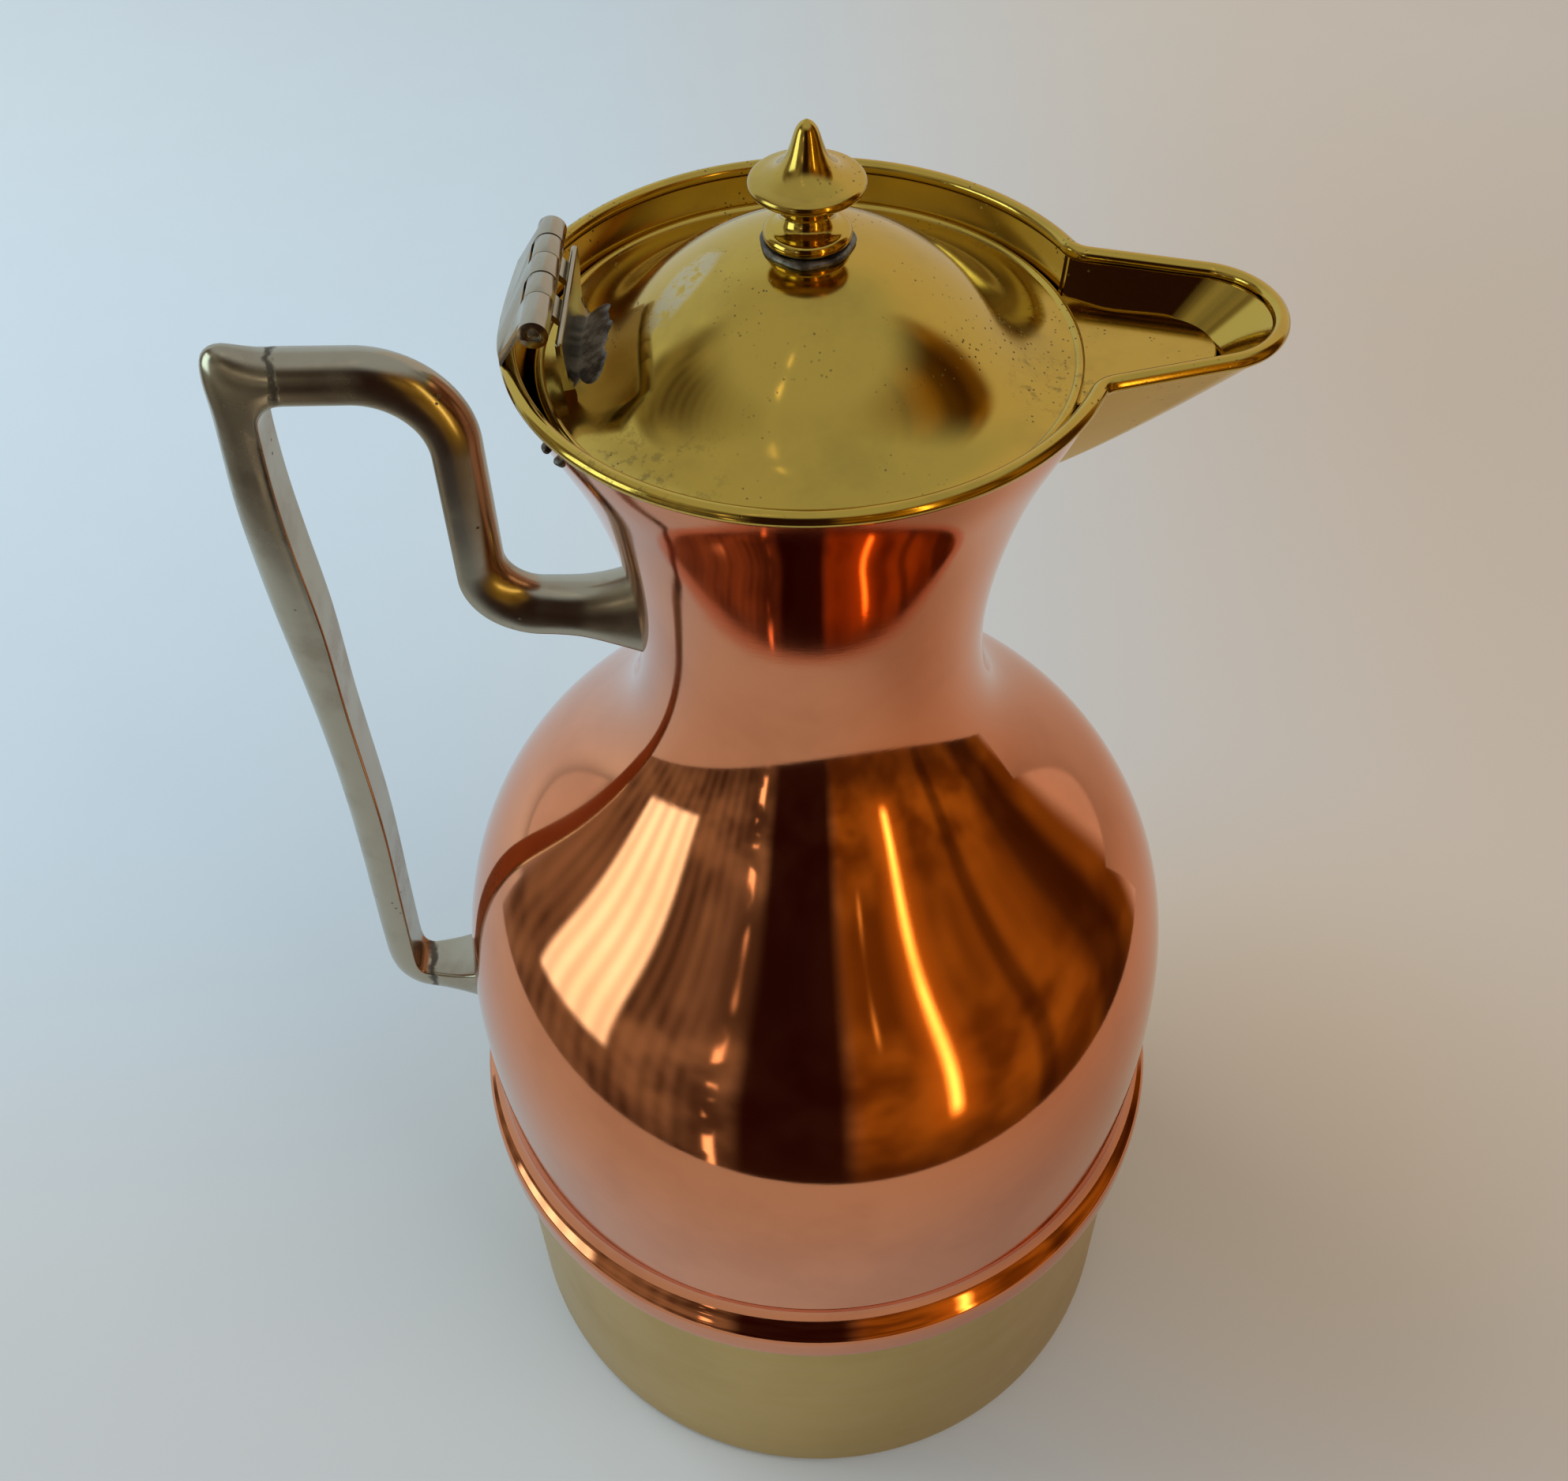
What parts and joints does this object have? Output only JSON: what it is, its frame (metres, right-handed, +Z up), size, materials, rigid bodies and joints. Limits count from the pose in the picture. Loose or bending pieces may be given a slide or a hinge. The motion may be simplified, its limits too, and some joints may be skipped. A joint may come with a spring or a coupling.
{
  "type": "hot water jug",
  "caption": "Polished copper jug on a brass base cup, with a flared neck, wired brass rim and pouring lip, a hinged domed lid with a turned finial, and an angular side handle.",
  "frame": {"origin": "centre of the jug's foot, on the surface it stands on", "axes": "+Z up along the jug's axis, +X towards the pouring lip, handle and hinge on the -X side"},
  "size_m": [0.1652, 0.1462, 0.2939],
  "materials": {
    "polished_copper": "polished",
    "polished_brass": "polished",
    "satin_brass": "satin",
    "nickel_silver": "polished",
    "tinned_copper": "satin",
    "steel": "satin",
    "solder": "matte",
    "cork": "matte"
  },
  "bodies": {
    "jug": {"base_cup": "satin_brass", "joint_band": "satin_brass", "copper_jacket": "polished_copper", "inner_liner": "tinned_copper", "cork_pad": "cork", "neck_ring": "satin_brass", "collar": "polished_brass", "rim_wire": "steel", "pouring_lip": "polished_brass", "solder_tacks": "solder", "handle_upper_arm": "nickel_silver", "handle_grip": "nickel_silver", "handle_lower_lug": "nickel_silver", "handle_dowels": "steel", "hinge_body_leaf": "nickel_silver", "hinge_pin": "steel"},
    "lid": {"hinge_lid_bracket": "nickel_silver", "lid_dome": "polished_brass", "lid_tongue": "polished_brass", "finial": "polished_brass", "finial_solder_ring": "solder", "finial_stud": "satin_brass", "finial_washer": "satin_brass", "finial_nut": "satin_brass"}
  },
  "joints": [
    {"name": "lid_hinge", "type": "hinge", "parent": "jug", "child": "lid", "pos_m": [-0.0378, 0, 0.2696], "axis": [0, -1, 0], "range_deg": [0, 105]}
  ]
}
